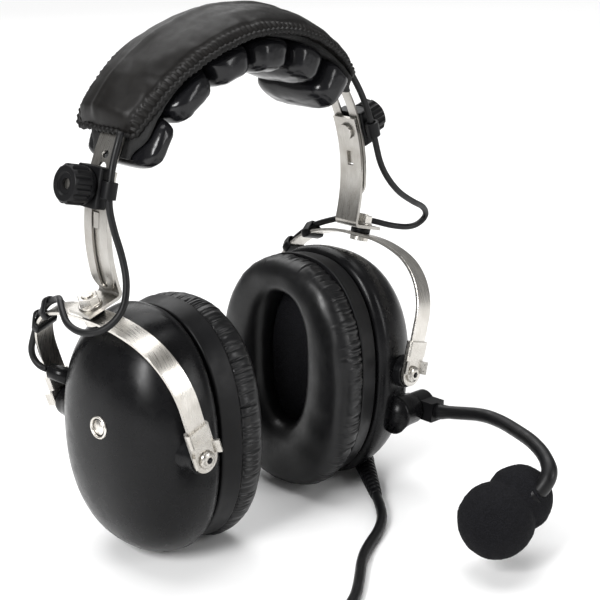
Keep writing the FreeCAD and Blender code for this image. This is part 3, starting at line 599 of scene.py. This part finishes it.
def ear_foam(side, paint):
    """The foam sheet behind the ear opening, in outlines from its middle to its edge."""
    wide, high, steps = 44, 76, 96
    rows = []
    for share in (0.02, 0.15, 0.3, 0.45, 0.6, 0.75, 0.88, 0.97):
        dimple = 0.6 if share < 0.1 else 0
        rows.append([
            (RIM - 1.6 + 0.25 * noise.noise(Vector((0, y * 0.2, z * 0.2))) - dimple, y, z)
            for _, y, z in oval(0, wide * share, high * share, EAR_DROP, steps)
        ])
    rows += [oval(x, wide, high, EAR_DROP, steps) for x in (RIM - 0.6, RIM + 0.9)]
    sheet = surface(f"{side}_foam_sheet", rows, cup_place(side), paint, capped=True)
    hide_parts(f"{side}_acoustic_foam")
    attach(sheet, f"{side}_cup")


def pivot_screws(side, steel, dark):
    """The domed screws of a cup's tilt, each with a flat black hexagon on its head, painted shade in place of
    a hexagon recess.
    """
    start = PIVOT_SIDE + 0.85
    head = smoothed([
        (3.9, start), (3.9, start + 0.5), (3.5, start + 1.3), (2.5, start + 1.9), (1.7, start + 2.0),
    ], 4)
    shank = [(2.0, PIVOT_SIDE - 8), (2.0, start - 0.02), (3.6, start)]
    # painted shade: a flat black hexagon just over each head stands for the dark hollow of its hexagon recess
    painted_recess_shade = [circle(1.55, start + 2.03, 6), circle(0.2, start + 2.02, 6)]
    pieces = []
    for sign in (-1, 1):
        place = cup_place(side) @ toward((0, sign, 0))
        pieces.append(turned("head", shank + head, place, steel))
        pieces.append(surface("painted_recess_shade", painted_recess_shade, place, dark, capped=True))
    whole = join(f"{side}_pivot_screw_heads", pieces)
    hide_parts(f"{side}_pivot_screws")
    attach(whole, f"{side}_cup")


def rounded_loop(corners, y, shrink):
    """A rounded convex loop round corners (x, z, radius), in the plane of constant y."""
    row = []
    for turn in turns(56):
        c, s = math.cos(turn), math.sin(turn)
        x, z, r = max(corners, key=lambda corner: corner[0] * c + corner[1] * s + corner[2])
        row.append((x + (r - shrink) * c, y, z + (r - shrink) * s))
    return row


def cord_clips(side, paint):
    """Two soft bands that hold the link cable on the stirrup's rear arm."""
    rear = -FRONT[side]
    shoulder = yoke_place(side) @ Matrix.Translation((0, rear * 17.8, 25.9))
    corners = [(-4.9, 28.6, 1.1), (4.9, 28.6, 1.1), (-4.9, 30.6, 1.1), (4.9, 30.6, 1.1), (0, 32.9, 3.0)]
    # place along the arm and shrinkage of each loop, from the inner face round the outer one
    loops = [
        (-1.4, 0), (1.4, 0), (2.1, 0.35), (2.75, 0.9), (2.1, 1.05), (-2.1, 1.05), (-2.75, 0.9), (-2.1, 0.35),
    ]
    rows = [rounded_loop(corners, y, shrink) for y, shrink in loops]
    pieces = []
    for degrees in (36, 64):
        place = shoulder @ Matrix.Rotation(math.radians(-rear * (90 - degrees)), 4, "X")
        pieces.append(surface("cord_clip", rows, place, paint, closed=True))
    whole = join(f"{side}_cord_bands", pieces)
    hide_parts(f"{side}_cord_clips")
    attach(whole, f"{side}_yoke")


def swivel_spacer(side, paint):
    """The washer that the bolt turns in; it keeps the CAD washer's height, with a wider bore."""
    place = yoke_place(side)
    inverse = place.inverted()
    heights = [(inverse @ (v.co / MM)).z for v in NODES[f"{side}_swivel_spacer"].data.vertices]
    low, high = min(heights), max(heights)
    profile = [
        (2.75, low), (4.4, low), (4.75, low + 0.3), (4.75, high - 0.3),
        (4.4, high), (2.75, high), (2.62, high - 0.2), (2.62, low + 0.2),
    ]
    washer = surface(f"{side}_washer", [circle(r, z) for r, z in profile], place, paint, closed=True)
    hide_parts(f"{side}_swivel_spacer")
    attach(washer, f"{side}_yoke")


def badge(side, metal):
    """A plain round badge with a raised rim."""
    front = FRONT[side]
    place = cup_place(side) @ toward((1, front * 0.05, 0.06), (20.6, front * 6, 8.5))
    rim = [(5.0, -1.5), (5.0, 1.9), (4.7, 2.3), (4.2, 2.3), (3.9, 1.9), (3.9, 0.8)]
    disc = [(3.95, 1.2), (3.4, 1.25), (3.1, 1.8), (0.6, 1.95)]
    whole = join(f"{side}_badge_disc", [turned("rim", rim, place, metal), turned("disc", disc, place, metal)])
    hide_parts(f"{side}_badge")
    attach(whole, f"{side}_cup")


# ---------------------------------------------------------------- head pad

# angles are degrees along the band's arc, and radii are measured from its middle
COVER_SPAN, COVER_HALF_LENGTH = 53.5, 77
COVER_RADIUS, COVER_UNDERSIDE = 76.4, 75.5
MM_PER_DEGREE = 1.45
SEAM_INSET = 3.9
WHIP_PITCH, PLEAT_PITCH = 2.7, 2.9
# edges of the six cells from the right end, and how far each hangs past their common depth
CELL_EDGES = (-62.0, -43.0, -20.5, -1.0, 18.5, 37.0, 54.0)
CELL_SAG = (-5.0, -1.5, 0.0, 0.5, 2.0, 5.0)


def on_arc(angle, radius, y):
    """A point of the headband's frame: the angle is from its top, positive towards the wearer's left."""
    a = math.radians(angle)
    return Vector((radius * math.sin(a), y, radius * math.cos(a)))


def cover_half_width(share):
    """Half the cover's width at a share of its half length: narrower at the ends, with round corners."""
    x = min(abs(share), 1.0)
    return (24.6 - 4.6 * x**2.6) * (1 - x**14) ** (1 / 14)


def cover_shift(share):
    """The cover sits a little towards the wearer's back, most of all at its right end."""
    return 1.0 + 5.0 * smooth_step(-share, 0.1, 1.0)


def cover_top(y, half, plump):
    """Radius of the cover's outside: a crown with a crease pressed up along its middle."""
    across = min(abs(y) / max(half, 0.01), 1.0)
    crown = 9.6 * (1 - across**2.1) ** 0.72 * (0.30 + 0.70 * plump)
    return COVER_RADIUS + crown + 1.1 * plump * math.exp(-((y - 2.0) / 2.4) ** 2)


def evenly(line, step):
    """The same line with points at an even distance."""
    made, left = [line[0]], step
    for a, b in zip(line, line[1:]):
        span = (b - a).length
        at = left
        while at < span:
            made.append(a.lerp(b, at / span))
            at += step
        left = at - span
    return made


def crowded_shares(steps, power):
    """Shares of the cover's half length from -1 to 1, closer together towards both ends."""
    shares = [1 - (1 - i / steps) ** power for i in range(steps)]
    return [-x for x in reversed(shares[1:])] + shares


def hem_line(inset, lift):
    """The closed line of the cover's hem, inset from its edge."""
    shares = crowded_shares(120, 2)
    edge = [(x, cover_half_width(x)) for x in shares]
    across = [(1.0, edge[-1][1] * (1 - i / 7)) for i in range(1, 14)]
    loop = edge + across + [(x, -y) for x, y in reversed(edge)] + [(-1.0, y) for _, y in reversed(across)]
    line = []
    for share, y in loop:
        half = cover_half_width(share)
        side_inset = inset if abs(share) < 0.999 else 0
        end_inset = inset / COVER_HALF_LENGTH * smooth_step(abs(share), 0.9, 1.0)
        over_band = 2.9 * smooth_step(abs(share), 0.97, 1.0) * (1 - smooth_step(abs(y), 9, 16))
        angle = (share - math.copysign(end_inset, share)) * COVER_SPAN
        y -= math.copysign(min(side_inset, abs(y)), y)
        radius = max(COVER_RADIUS + over_band, cover_top(y, half, 0.0) if inset else 0)
        wave = 0.45 * noise.noise(Vector((angle * 0.3, y * 0.2, 3 + inset)))
        line.append(on_arc(angle, radius + lift + wave, y + 0.6 * wave + cover_shift(share)))
    return evenly([*line, line[0]], 0.55)


def whipped_tube(name, line, radius, swell, steps, paint):
    """A cord of thread whose strands wind round a line."""

    def thread(travelled, turn):
        return radius * (1 + swell * math.sin(travelled * FULL_TURN / WHIP_PITCH + turn))

    return surface(name, tube_rows(line, thread, steps), BAND_PLACE, paint)


def cover_row(share, columns=64, underside=14):
    """One section across the cover: its crown from one edge to the other, and its flat underside."""
    plump = smooth_step(1 - abs(share), 0.0, 0.11) ** 0.6
    angle = share * COVER_SPAN
    half = max(cover_half_width(share), 0.4)
    shift = cover_shift(share)
    arc = angle * MM_PER_DEGREE
    pleat = math.cos(FULL_TURN * arc / PLEAT_PITCH + 1.2 * noise.noise(Vector((arc * 0.2, 2, 0))))
    row = []
    for j in range(columns + 1):
        y = half * math.sin(math.pi / 2 * (1 - 2 * j / columns))
        edge = half - abs(y)
        hem = 1 - smooth_step(edge, SEAM_INSET - 1, SEAM_INSET)
        soft = noise.fractal(Vector((angle * 0.06, y * 0.07, 7)), 1.0, 2.0, 3)
        pull = noise.noise(Vector((arc * 0.16, math.copysign(3, y), y * 0.02)))
        pull *= smooth_step(abs(y) / half, 0.35, 0.9) * (1 - hem)
        radius = cover_top(y, half, plump)
        radius += 0.32 * pleat * hem * smooth_step(edge, 0.0, 0.8)
        radius -= 0.55 * math.exp(-((edge - SEAM_INSET) / 0.55) ** 2)
        row.append(on_arc(angle, radius + soft * 0.8 * plump + pull * 0.7, y + shift))
    for j in range(1, underside):
        y = -half + 2 * half * j / underside
        row.append(on_arc(angle, COVER_UNDERSIDE, y + shift))
    return row


def pad_cover(paint, edging):
    """The leatherette cover over the band: a crowned pad whose whipped hem runs all round it."""
    rows = [cover_row(share) for share in crowded_shares(230, 1.6)]
    cover = surface("pad_cover_skin", rows, BAND_PLACE, paint, capped=True)
    hem = whipped_tube("hem", hem_line(0, 0), 1.3, 0.24, 12, edging)
    stitch = whipped_tube("stitch", hem_line(SEAM_INSET, 0.15), 0.42, 0.35, 8, edging)
    whole = join("pad_cover_sewn", [cover, hem, stitch])
    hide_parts("pad_cover")
    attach(whole, "headband")


def pad_lining(paint):
    """The cloth between band and cells."""
    rows = []
    for i in range(121):
        angle = (i / 120 * 2 - 1) * 60.3
        half = 18 - 6.5 * smooth_step(abs(angle), 52, 60)
        row = []
        for turn in turns(48):
            c, s = math.cos(turn), math.sin(turn)
            y = half * signed_power(c, 0.35)
            wave = 0.35 * noise.noise(Vector((angle * 0.3, y * 0.25, s)))
            row.append(on_arc(angle, 74.6 + 1.3 * signed_power(s, 0.6) + wave, y))
        rows.append(row)
    lining = surface("pad_lining_cloth", rows, BAND_PLACE, paint, capped=True)
    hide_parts("pad_lining")
    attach(lining, "headband")


def pillow_edge(lift):
    """Outline of a cell at a lift from -1 (at the lining) to 1 (its hanging face)."""
    if lift > 0:
        return (1 - lift**3.2) ** 0.45
    return (1 - abs(lift) ** 7) ** 0.3 * (1 - 0.05 * lift * lift)


def pillow(index):
    """A sewn cell of soft vinyl that hangs like a drop from its seams."""
    start, end = CELL_EDGES[index], CELL_EDGES[index + 1]
    middle, reach = (start + end) / 2, (end - start) / 2 + 0.1
    rows = []
    for i in range(34):
        lift = -math.cos(math.pi * i / 33)
        edge = pillow_edge(lift)
        radius = 65.6 - 7.9 * lift - CELL_SAG[index] * smooth_step(lift, -1, 1)
        row = []
        for turn in turns(76):
            along = signed_power(math.cos(turn), 0.6) * edge
            across = signed_power(math.sin(turn), 0.56) * edge
            angle = middle + along * reach
            at = Vector((angle * 0.22, across * 3.2, index * 3 + lift * 1.2))
            crease = noise.fractal(at, 1.0, 2.0, 3)
            pucker = 0.5 * math.sin(9 * turn + index) * smooth_step(-lift, 0.3, 1.0)
            y = across * (22.4 + pucker * 0.5) + crease * 0.25
            row.append(on_arc(angle, radius + crease * 0.3, y))
        rows.append(row)
    return rows


def pad_cells(paint):
    """The six cells as one piece."""
    pieces = [surface(f"cell_{i}", pillow(i), BAND_PLACE, paint, capped=True) for i in range(len(CELL_SAG))]
    whole = join("pad_cells_vinyl", pieces)
    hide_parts("pad_cells")
    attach(whole, "headband")


# ---------------------------------------------------------------- cables

LINK_RADIUS = 1.5
# from the pad through the hanger's cable clip and along the stirrup's rear arm to the cup's gland
LINK_ROUTES = {
    "left": [
        (62.3, -9.5, 199.4), (70.2, -9.8, 189.0), (76.2, -11.0, 174.2), (79.2, -11.4, 163.0),
        (81.5, -13.2, 149.5), (92.0, -13.6, 136.5), (106.0, -12.0, 128.0), (119.0, -9.0, 122.0),
        (124.0, -6.0, 115.5), (117.0, -3.5, 111.0), (105.0, -0.5, 113.5), (94.0, 5.0, 118.0),
        (86.0, 14.5, 119.5), (80.8, 24.2, 116.4), (80.3, 33.4, 112.2), (77.5, 44.4, 102.8),
        (77.6, 49.4, 93.0), (79.2, 51.0, 84.8), (78.2, 46.6, 78.6), (76.9, 42.4, 77.6),
    ],
    "right": [
        (-69.0, -9.5, 190.3), (-73.6, -10.2, 181.5), (-76.6, -11.0, 173.2), (-79.0, -11.5, 163.0),
        (-78.4, -13.4, 152.5), (-77.4, -16.5, 142.5), (-78.6, -20.5, 132.0), (-82.0, -21.5, 121.5),
        (-88.4, -18.0, 114.4), (-93.2, -9.5, 111.6), (-94.4, 0.0, 113.4), (-91.6, 7.0, 117.4),
        (-87.0, 14.5, 119.8), (-81.2, 24.2, 116.5), (-80.3, 33.4, 112.2), (-77.5, 44.4, 102.8),
        (-77.6, 49.4, 93.0), (-79.2, 51.0, 84.8), (-78.2, 46.6, 78.6), (-76.9, 42.4, 78.4),
    ],
}


def link_cable(side, paint):
    """The cable from pad to cup, cut into three lengths at two marks along its route."""
    route = LINK_ROUTES[side]
    line = spline_line(route)
    rows = tube_rows(line, LINK_RADIUS, 16)
    sign = 1 if side == "left" else -1
    ring, arm = Vector((sign * 77.8, -11.2, 168.4)), Vector((sign * 79.4, 36.5, 109.4))
    at_ring, at_arm = (min(range(len(line)), key=lambda i: (line[i] - mark).length) for mark in (ring, arm))
    adjuster, yoke, cup = f"{side}_adjuster", f"{side}_yoke", f"{side}_cup"
    spans = [
        ("upper", rows[: at_ring + 1], "headband", adjuster, line[2], ring),
        ("middle", rows[at_ring : at_arm + 1], adjuster, yoke, Vector(route[-9]), arm),
        ("lower", rows[at_arm:], yoke, cup, Vector(route[-4]), Vector(route[-1])),
    ]
    for name, part, first, second, start, end in spans:
        piece = surface(f"{side}_link_{name}", part, IDENTITY, paint, capped=True)
        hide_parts(f"{side}_link_cable")
        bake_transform(piece)


# ---------------------------------------------------------------- microphone

GOOSENECK = [
    (77.6, -53.2, 37.3), (78.2, -66.0, 40.0), (77.4, -80.0, 43.6), (73.6, -93.5, 45.4),
    (67.0, -107.5, 46.8), (59.5, -121.5, 48.4), (52.0, -134.0, 47.4), (45.6, -141.5, 42.6),
    (41.2, -137.8, 36.0),
]
MUFF_FRONT, MUFF_REAR = Vector((28, -126.5, 24)), Vector((42, -128, 30))
MUFF_FRONT_RADIUS, MUFF_REAR_RADIUS = 16.5, 14.3


def gooseneck(paint):
    """The sleeved gooseneck, a little thicker at both ends."""
    line = spline_line(GOOSENECK)

    def sleeve(travelled, _):
        return 3.1 + 0.5 * (1 - smooth_step(travelled, 3, 6)) + 0.6 * smooth_step(travelled, 86, 100)

    neck = surface("boom_sleeve", tube_rows(line, sleeve, 24), IDENTITY, paint, capped=True)
    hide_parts("gooseneck")
    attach(neck, "boom")


def muff(paint):
    """The foam muff: two lobes that flow into each other."""
    axis = MUFF_REAR - MUFF_FRONT
    gap = axis.length
    place = toward(axis, MUFF_FRONT)
    low, high = -16.4, gap + 14.1
    rows = []
    for i in range(90):
        z = low + (high - low) * (0.5 - 0.5 * math.cos(math.pi * (i + 0.4) / 89.8))
        front = math.sqrt(max(MUFF_FRONT_RADIUS**2 - z * z, 0))
        rear = math.sqrt(max(MUFF_REAR_RADIUS**2 - (z - gap) ** 2, 0))
        radius = max(front, rear, 0.3)
        row = []
        for turn in turns(110):
            at = Vector((radius * math.cos(turn), radius * math.sin(turn), z))
            rough = noise.fractal(at * 0.16, 1.0, 2.0, 3) * 0.45 + noise.noise(at * 1.6) * 0.16
            row.append(at + Vector((at.x, at.y, 0)).normalized() * rough)
        rows.append(row)
    ball = surface("mic_foam", rows, place, paint, capped=True)
    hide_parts("mic_muff")
    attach(ball, "boom")


# ---------------------------------------------------------------- down-lead

CORD_MM, TAIL_MM = 4.8, 3.6
MAIN_CORD = [
    (42.5, -45.5, 3.0), (32.5, -59.0, 2.5), (19.0, -68.5, 2.4), (5.0, -74.5, 2.4), (-6.5, -81.0, 2.4),
    (-18.0, -90.5, 2.4), (-32.0, -101.0, 2.4), (-46.0, -106.6, 2.4), (-58.5, -106.0, 2.4),
]
COIL_MIDDLE = Vector((-67, -142, 0))
COIL_RADII = (35.9, 31.1, 26.3, 21.5, 23.9, 28.7, 33.5)
COIL_START = math.radians(85)
CORD_ON_TABLE, CORD_ON_CORD = 2.4, 4.3
CORD_END = [(-100.4, -150.0, 7.2), (-103.0, -160.0, 5.0), (-103.6, -169.0, 3.4), (-104.0, -178.0, 3.3)]
MIC_TAIL = [
    (-101.2, -198.0, 3.3), (-100.4, -205.5, 2.4), (-95.0, -211.0, 1.8), (-85.0, -211.6, 1.8),
    (-74.0, -207.0, 2.6), (-63.0, -203.6, 4.6), (-51.0, -203.0, 6.3),
]
PHONE_TAIL = [
    (-106.8, -198.0, 3.3), (-107.4, -207.5, 2.4), (-103.0, -217.5, 1.8), (-92.5, -223.0, 1.8),
    (-79.0, -222.6, 2.6), (-65.0, -220.0, 5.0), (-51.0, -219.4, 6.9),
]


def coil_turns(steps=20):
    """Four turns inwards on the table and three outwards on top of them."""
    last = len(COIL_RADII) - 1
    points = []
    for i in range(4, len(COIL_RADII) * steps + 5):
        turn = i / steps
        k = min(int(turn), last)
        onward = smooth_step(turn - k, 0.55, 1.0) if k < last else 0.0
        radius = COIL_RADII[k] + (COIL_RADII[min(k + 1, last)] - COIL_RADII[k]) * onward
        height = CORD_ON_TABLE + CORD_ON_CORD * smooth_step(turn, 3.5, 4.1)
        angle = COIL_START + FULL_TURN * turn
        points.append((
            COIL_MIDDLE.x + radius * math.cos(angle), COIL_MIDDLE.y + radius * math.sin(angle), height,
        ))
    return points


def plug(name, start, radius, pin, rubber, metal):
    """A moulded plug of a radius with grip ribs, and its turned pin of a diameter."""
    place = toward((1, 0, 0), start)
    shell = [(2.7, 0), (2.9, 1.5), (radius - 1.6, 11.5), (radius - 0.4, 12.6), (radius, 13.4)]
    for i in range(6):
        z = 15.5 + i * 2.6
        shell += [(radius, z), (radius - 0.5, z + 0.5), (radius - 0.5, z + 1.1), (radius, z + 1.6)]
    shell += [(radius, 35), (radius - 0.7, 36), (pin / 2, 36)]
    # shares of the pin's radius: two insulating grooves, then the neck and the tip
    rod = [
        (1, 35.5), (1, 44), (0.96, 44.3), (0.96, 45.3), (1, 45.6), (1, 55), (0.96, 55.3), (0.96, 56.3),
        (1, 56.6), (1, 61), (0.72, 62.2), (0.7, 62.8), (0.95, 64), (0.5, 66.8),
    ]
    rod = [(pin / 2 * share, z) for share, z in rod] + [(0.2, 67)]
    body = turned(f"{name}_shell", shell, place, rubber, 36)
    tip = turned(f"{name}_pin", rod, place, metal, 36)
    for piece, node, slot in ((body, "plug_shells", "black_plastic"), (tip, "plug_pins", "plug_metal")):
        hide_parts(node)
        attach(piece, "left_cup")
    return [body, tip]


def strain_relief(paint):
    """A ribbed, tapered sleeve."""
    axis = RELIEF_END - RELIEF_START
    length = axis.length
    wide, narrow, groove = 4.9, 2.8, 0.55
    ribs, ribbed_share = 9, 0.86
    pitch = length * ribbed_share / ribs
    profile = [(wide, -0.4)]
    for i in range(ribs):
        z = length * (0.06 + ribbed_share * i / ribs)
        r = wide - (wide - narrow) * z / length
        profile += [(r, z), (r, z + pitch * 0.5)]
        profile += [(r - groove, z + pitch * 0.62), (r - groove, z + pitch * 0.92)]
    profile += [(2.85, length - 1.2), (2.7, length - 0.2), (2.4, length)]
    sleeve = turned("strain_relief_sleeve", profile, toward(axis, RELIEF_START), paint)
    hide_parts("strain_relief")
    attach(sleeve, "left_cup")


def cords(jacket_paint, rubber, metal):
    """The down-lead with its coil as one curve, and the two tails with their plugs."""
    main = nurbs("down_lead", MAIN_CORD + coil_turns() + CORD_END, CORD_MM, jacket_paint, 4)
    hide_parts("main_cord", "cord_coil", "cord_end")
    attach(main, "left_cup")
    tails = (("mic", MIC_TAIL, 0.060, 5.23, 6.2), ("phone", PHONE_TAIL, 0.073, 6.35, 6.8))
    for name, route, length, pin, radius in tails:
        tail = nurbs(f"{name}_lead", route, TAIL_MM, jacket_paint)
        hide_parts(f"{name}_tail")
        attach(tail, "left_cup")
        pieces = plug(f"{name}_plug", Vector(route[-1]), radius, pin, rubber, metal)


# ---------------------------------------------------------------- making

add_camera()
add_stage()

strip_steel = brushed_steel("steel_strip", (0.12, 5, 0.12), 0.56)
arch_steel = brushed_steel("steel_arch", (5, 0.12, 0.12), 0.86)
small_steel = brushed_steel("steel_small", (1.5, 1.5, 1.5), 0.8)
dome_paint = moulded("dome_satin", (0.0045, 0.0045, 0.005), 0.27)
ring_paint = moulded("rim_satin", (0.006, 0.006, 0.0065), 0.4)
black_paint = moulded("black_moulded", (0.0045, 0.0045, 0.005), 0.38, 0.35, 0.2)
cushion_paint = leatherette("cushion_skin", (0.0045, 0.0045, 0.005), 0.36, 0.3)
cover_paint = leatherette("pad_skin", (0.006, 0.0054, 0.005), 0.42, 0.2, 0.17)
edging_paint = leatherette("pad_edging", (0.005, 0.0047, 0.0045), 0.5, 1.0, 0.2)
cell_paint = vinyl("cell_film")
foam_paint = foam("foam_black", (0.0045, 0.0045, 0.0055))
lining_paint = woven("lining_weave", (0.004, 0.004, 0.004))
cable_paint = jacket("cable_soft")
badge_paint = brushed_steel("badge_metal", (2, 2, 2))
plug_paint = brass("plug_brass")

cords(cable_paint, black_paint, plug_paint)
strain_relief(black_paint)
for side in SIDES:
    dome(side, dome_paint)
    rim_ring(side, ring_paint)
    ear_cushion(side, cushion_paint)
    ear_foam(side, foam_paint)
    badge(side, badge_paint)
    link_cable(side, cable_paint)
    cord_clips(side, black_paint)
    swivel_spacer(side, black_paint)
    pivot_screws(side, small_steel, black_paint)
pad_cover(cover_paint, edging_paint)
pad_lining(lining_paint)
pad_cells(cell_paint)
gooseneck(cable_paint)
muff(foam_paint)

# paint and bevel width in millimetres of the nodes that keep their CAD shape
SIDE_NODES = {
    "hanger": (strip_steel, 0.18), "stirrup": (arch_steel, 0.25), "pivot_clips": (small_steel, 0.25),
    "swivel_bolt": (small_steel, 0.15), "swivel_nut": (small_steel, 0.25), "clamp_stud": (strip_steel, 0.2),
    "clamp_block": (black_paint, 0.3), "clamp_knob": (black_paint, 0.35), "cable_clip": (black_paint, 0.3),
    "baffle": (black_paint, 0), "driver": (black_paint, 0),
}
OTHER_NODES = {
    "spring_band": (strip_steel, 0.15), "boom_turret": (black_paint, 0.9),
    "boom_spindle": (small_steel, 0.3), "mic_capsule": (black_paint, 0),
    "cord_tie": (black_paint, 0.3), "y_junction": (black_paint, 0.5),
}
for side in SIDES:
    for part, (paint, width) in SIDE_NODES.items():
        finished(f"{side}_{part}", paint, width)
for node, (paint, width) in OTHER_NODES.items():
    finished(node, paint, width)
